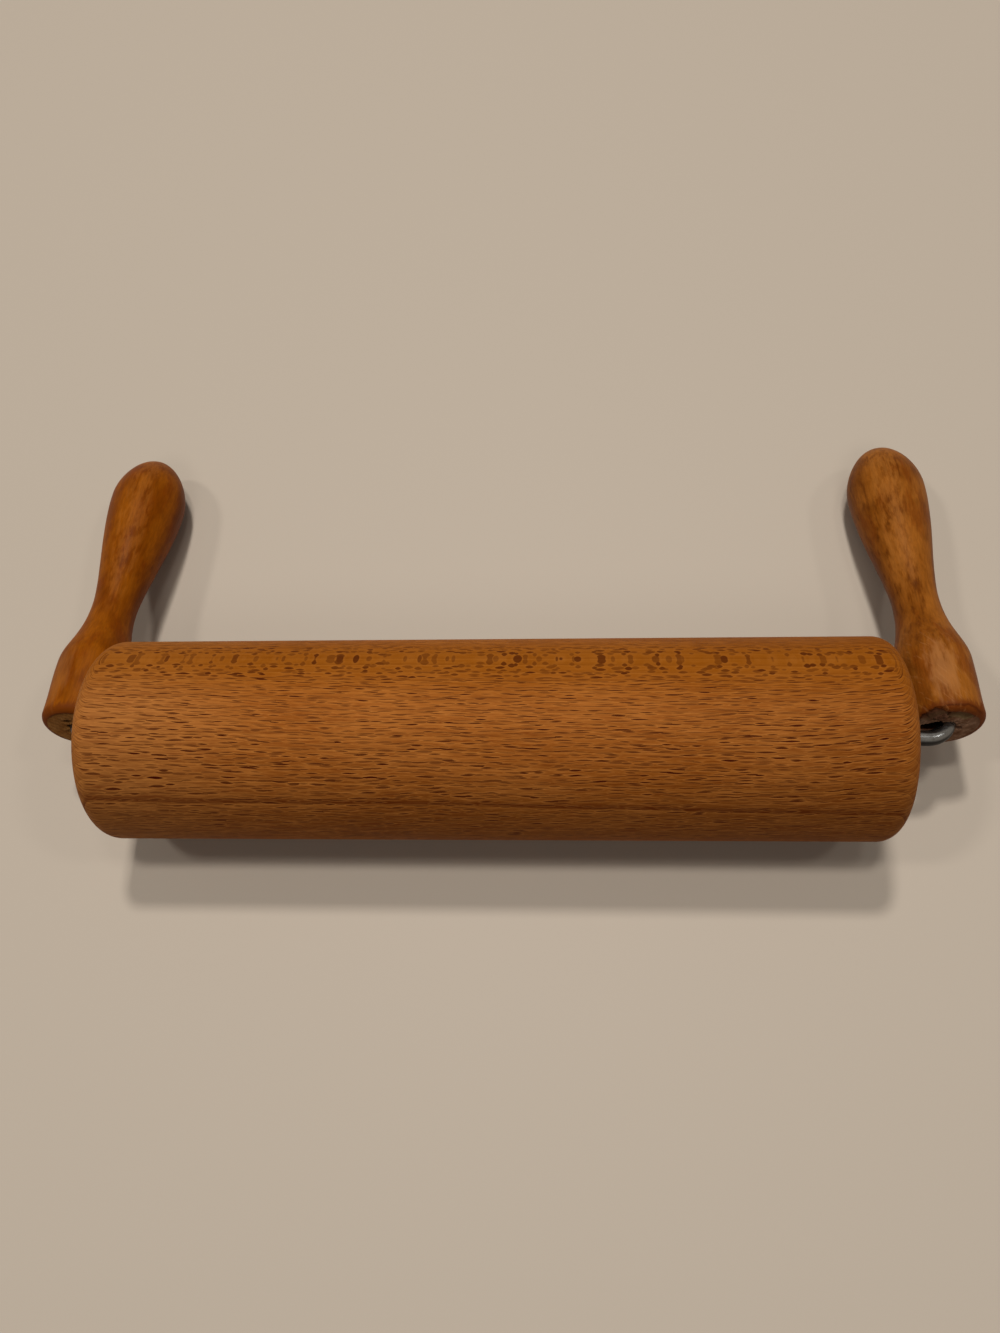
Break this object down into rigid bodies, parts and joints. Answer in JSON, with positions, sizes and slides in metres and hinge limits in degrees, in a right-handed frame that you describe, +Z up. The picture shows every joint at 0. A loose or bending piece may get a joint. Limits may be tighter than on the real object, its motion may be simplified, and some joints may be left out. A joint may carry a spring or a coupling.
{
  "type": "rolling pin",
  "caption": "Wooden rolling pin: a round beech roller turns freely on a bent steel axle whose ends carry turned handles swept back from the roller.",
  "frame": {"origin": "middle of the roller's line of contact with the counter, straight below the middle of the roller's axis", "axes": "+X along the roller's axis towards the right handle, +Y back towards the handles' bulbs, +Z up from the counter"},
  "size_m": [0.3095, 0.1579, 0.064],
  "materials": {
    "roller_beech": "oiled by use, bare beech",
    "handle_beech": "worn brown varnish",
    "steel": "bright drawn",
    "nylon": "natural moulded"
  },
  "bodies": {
    "yoke": {"axle": "steel", "handle_left": "handle_beech", "handle_right": "handle_beech"},
    "thrust_washers": {"washer_left": "steel", "washer_right": "steel"},
    "roller": {"roller": "roller_beech", "bush_left": "nylon", "bush_right": "nylon"}
  },
  "joints": [
    {"name": "end_play", "type": "slide", "parent": "yoke", "child": "thrust_washers", "axis": [1, 0, 0], "range_m": [-0.0009, 0.0066]},
    {"name": "roller_spin", "type": "hinge", "parent": "thrust_washers", "child": "roller", "pos_m": [0, 0, 0.032], "axis": [1, 0, 0], "continuous": true}
  ]
}
